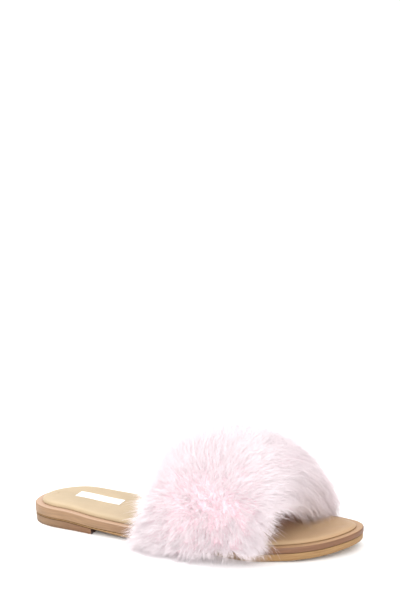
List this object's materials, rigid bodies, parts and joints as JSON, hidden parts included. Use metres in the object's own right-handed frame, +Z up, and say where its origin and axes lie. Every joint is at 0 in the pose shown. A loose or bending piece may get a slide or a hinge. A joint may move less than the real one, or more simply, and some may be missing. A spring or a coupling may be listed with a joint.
{
  "type": "faux fur slide sandal",
  "caption": "Flat slide sandal for the right foot with a wide strap under deep faux fur, a padded insole, a slim midsole, a tapered outsole and a low heel lift.",
  "frame": {"origin": "on the floor under the ball of the foot, where the forefoot of the outsole rests", "axes": "+X towards the toe, -Y towards the outer (lateral) side, +Z up"},
  "size_m": [0.255, 0.1348, 0.0869],
  "materials": {
    "outsole": "matte tan rubber sheet",
    "heel_lift": "stacked leather look, matte",
    "midsole": "brown stacked edge with a pale wrapped rim",
    "insole": "smooth tan leather over thin foam",
    "insole_label": "plain satin patch",
    "upper_strap": "knitted backing, pink",
    "fur": "long soft pile, very pale pink"
  },
  "bodies": {
    "root": {"outsole": "outsole", "heel_lift": "heel_lift", "midsole": "midsole", "insole": "insole", "insole_label": "insole_label", "upper_strap": "upper_strap", "fur": "fur"}
  },
  "joints": []
}
